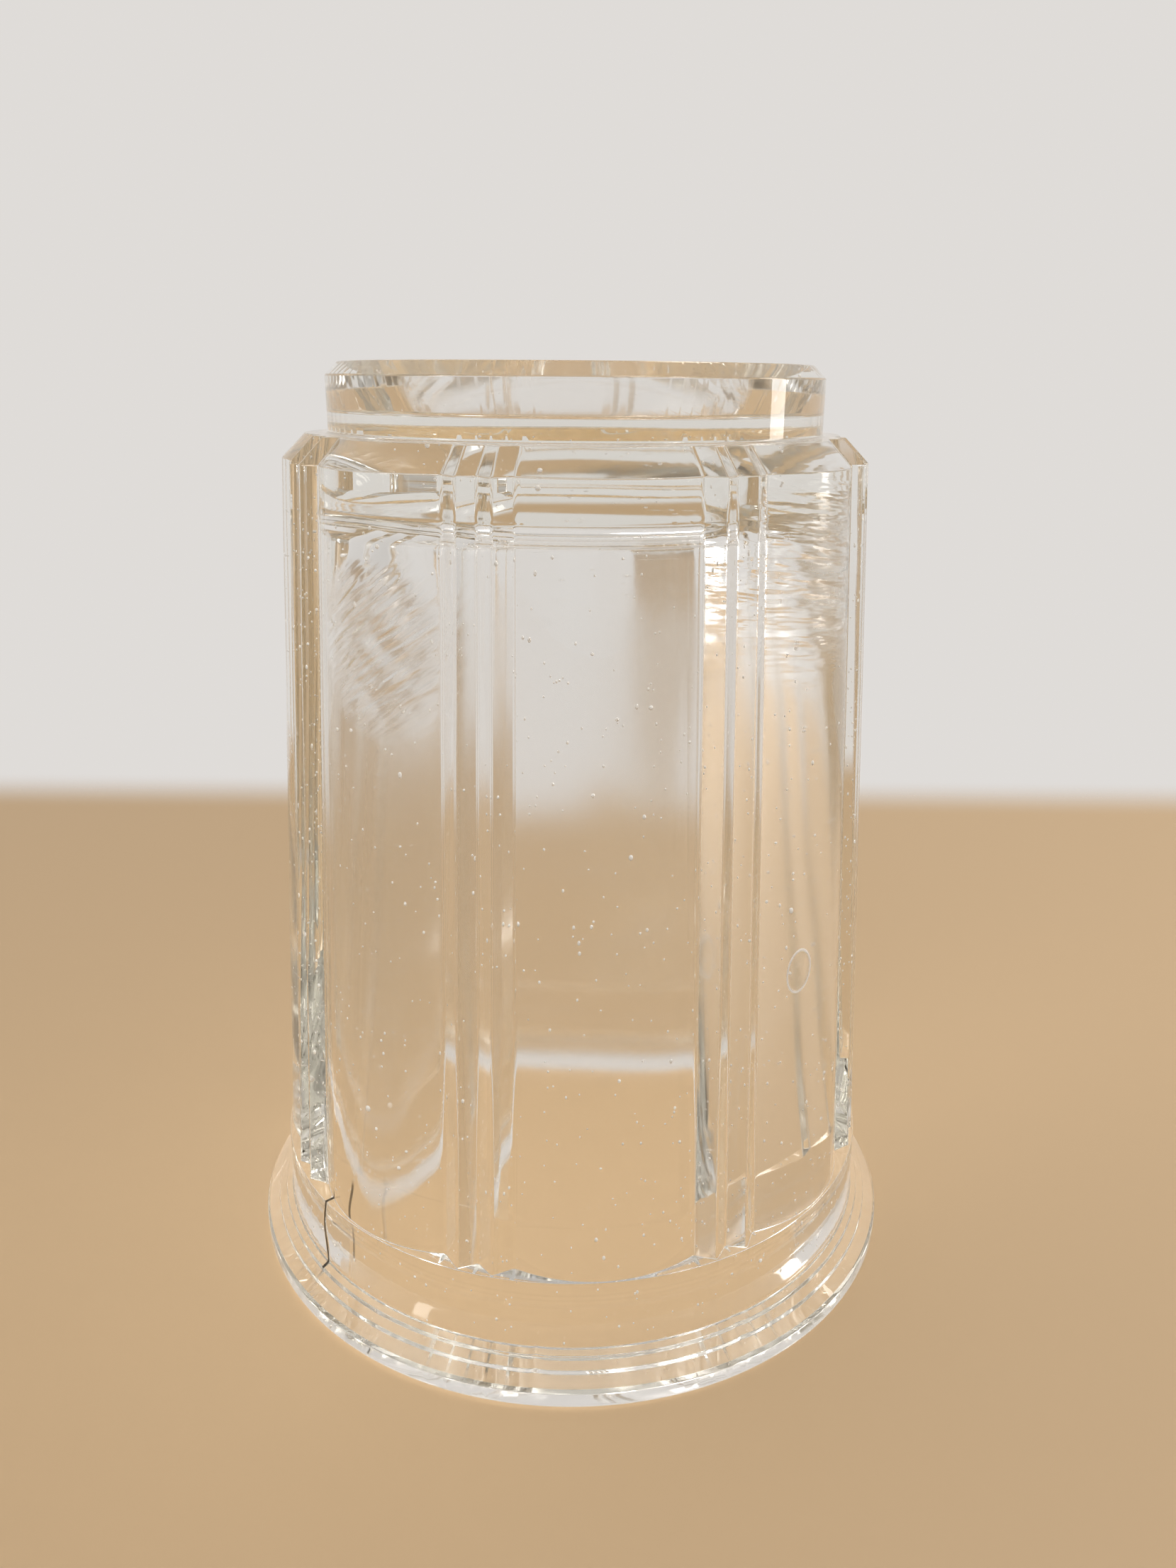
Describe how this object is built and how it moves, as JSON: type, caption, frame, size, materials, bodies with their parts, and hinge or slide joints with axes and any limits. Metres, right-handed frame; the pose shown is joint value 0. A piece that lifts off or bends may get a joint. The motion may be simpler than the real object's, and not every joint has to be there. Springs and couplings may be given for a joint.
{
  "type": "pressed glass beaker",
  "caption": "Heavy clear pressed-glass beaker, stood mouth down: flared stepped rim, plain band, bowed panels between twin ribs, bevelled shoulder and thick recessed foot.",
  "frame": {"origin": "centre of the mouth rim's contact face, on the surface that the beaker stands on, mouth down", "axes": "+Z along the vessel's axis from the open mouth up to the foot; -Y points out through the middle of one wide panel"},
  "size_m": [0.1, 0.1, 0.13],
  "materials": {
    "clear_glass": "fire-polished clear soda-lime glass with seeds, chill marks and a faint warm grey-green tint in the thick parts"
  },
  "bodies": {
    "root": {"mouth_rim": "clear_glass", "mouth_band": "clear_glass", "panelled_wall": "clear_glass", "base_slab": "clear_glass", "foot_ring": "clear_glass"}
  },
  "joints": []
}
